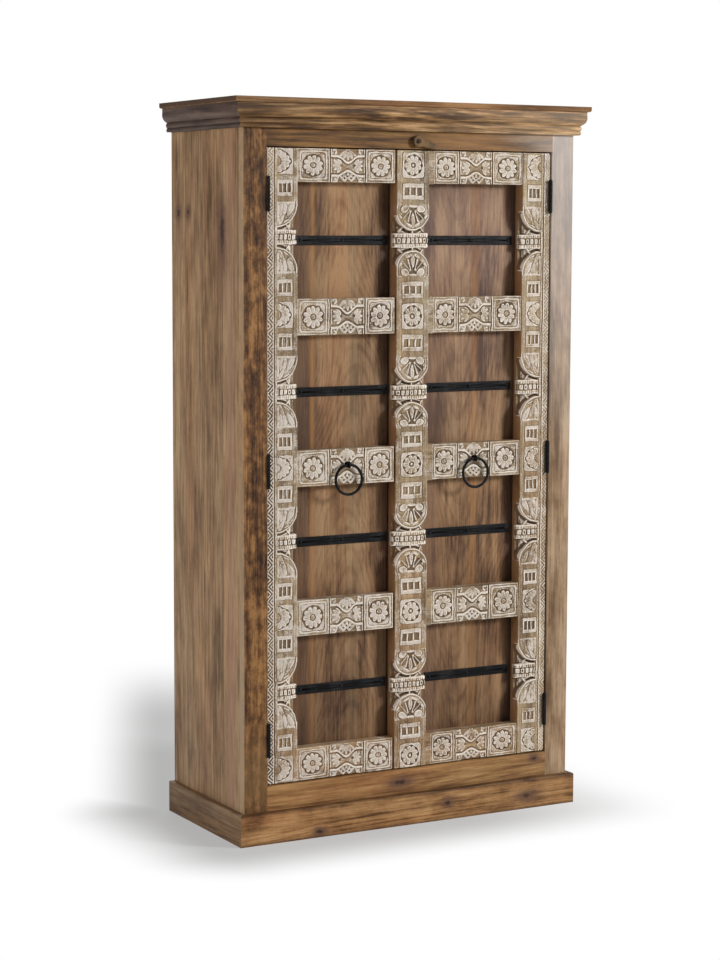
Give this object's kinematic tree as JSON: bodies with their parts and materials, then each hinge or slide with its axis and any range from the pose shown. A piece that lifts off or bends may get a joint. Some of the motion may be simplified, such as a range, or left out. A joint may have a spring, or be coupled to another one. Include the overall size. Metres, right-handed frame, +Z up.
{
  "type": "trastero cabinet",
  "caption": "Tall cabinet with two carved, limed hardwood doors on butt hinges, iron straps, ring pulls, a turn latch, inner shelves, plinth and moulded cornice.",
  "frame": {"origin": "middle of the footprint of the whole cabinet, on the floor", "axes": "+Z up; +Y towards the back, so the doors face -Y; +X to the right seen from the front"},
  "size_m": [1.002, 0.436, 1.8],
  "materials": {
    "side_wood": "greyish brown hardwood boards, brushed and waxed, satin",
    "frame_wood": "mottled golden brown hardwood, brushed and waxed, satin",
    "cornice_wood": "golden brown moulded hardwood, waxed, satin",
    "plinth_wood": "warm brown hardwood with knots, waxed, satin",
    "panel_wood": "brown hardwood panels with long grain, waxed, satin",
    "carved_wood": "carved hardwood, limed white and rubbed back to the wood, matt",
    "inner_wood": "plain inner boards, light wax, matt",
    "black_iron": "blackened forged iron, satin",
    "rusty_iron": "aged iron with brown patina, matt",
    "screw_steel": "dull steel screws"
  },
  "bodies": {
    "cabinet": {"left_side_panel": "side_wood", "right_side_panel": "side_wood", "frame_left_stile": "frame_wood", "frame_right_stile": "frame_wood", "frame_top_rail": "frame_wood", "frame_bottom_rail": "frame_wood", "cornice_top_board": "cornice_wood", "cornice_front_moulding": "cornice_wood", "cornice_left_moulding": "cornice_wood", "cornice_right_moulding": "cornice_wood", "plinth_front_board": "plinth_wood", "plinth_left_board": "plinth_wood", "plinth_right_board": "plinth_wood", "back_boards": "inner_wood", "floor_board": "inner_wood", "ceiling_board": "inner_wood", "lower_shelf": "inner_wood", "middle_shelf": "inner_wood", "upper_shelf": "inner_wood", "shelf_cleats": "inner_wood", "base_back_rail": "inner_wood", "base_glue_blocks": "inner_wood", "door_stop": "inner_wood", "hinge_frame_leaves": "black_iron", "hinge_pins": "black_iron", "hinge_frame_screws": "screw_steel", "cleat_screws": "screw_steel", "latch_washer": "rusty_iron", "latch_screw": "rusty_iron"},
    "left_door": {"left_door_panel": "panel_wood", "left_door_stile": "carved_wood", "left_door_rail_1": "carved_wood", "left_door_rail_2": "carved_wood", "left_door_rail_3": "carved_wood", "left_door_rail_4": "carved_wood", "left_door_rail_5": "carved_wood", "left_door_straps": "black_iron", "left_strap_nails": "black_iron", "left_hinge_leaves": "black_iron", "left_hinge_screws": "screw_steel", "left_ring_staple": "black_iron"},
    "right_door": {"right_door_panel": "panel_wood", "right_door_stile": "carved_wood", "right_door_rail_1": "carved_wood", "right_door_rail_2": "carved_wood", "right_door_rail_3": "carved_wood", "right_door_rail_4": "carved_wood", "right_door_rail_5": "carved_wood", "right_door_straps": "black_iron", "right_strap_nails": "black_iron", "right_hinge_leaves": "black_iron", "right_hinge_screws": "screw_steel", "right_ring_staple": "black_iron", "centre_stile": "carved_wood", "centre_end_blocks": "carved_wood"},
    "left_ring": {"left_ring": "black_iron"},
    "right_ring": {"right_ring": "black_iron"},
    "turn_latch": {"turn_latch": "rusty_iron"}
  },
  "joints": [
    {"name": "left_door_hinge", "type": "hinge", "parent": "cabinet", "child": "left_door", "pos_m": [-0.40075, -0.18635, 0.913], "axis": [0, 0, -1], "range_deg": [0, 170]},
    {"name": "right_door_hinge", "type": "hinge", "parent": "cabinet", "child": "right_door", "pos_m": [0.40075, -0.18635, 0.913], "axis": [0, 0, 1], "range_deg": [0, 170]},
    {"name": "left_ring_swing", "type": "hinge", "parent": "left_door", "child": "left_ring", "pos_m": [-0.182, -0.1882, 0.918], "axis": [-1, 0, 0], "range_deg": [-3, 105]},
    {"name": "right_ring_swing", "type": "hinge", "parent": "right_door", "child": "right_ring", "pos_m": [0.182, -0.1882, 0.918], "axis": [-1, 0, 0], "range_deg": [-3, 105]},
    {"name": "latch_turn", "type": "hinge", "parent": "cabinet", "child": "turn_latch", "pos_m": [0.0075, -0.1933, 1.705], "axis": [0, 1, 0], "range_deg": [-32, 180]}
  ]
}
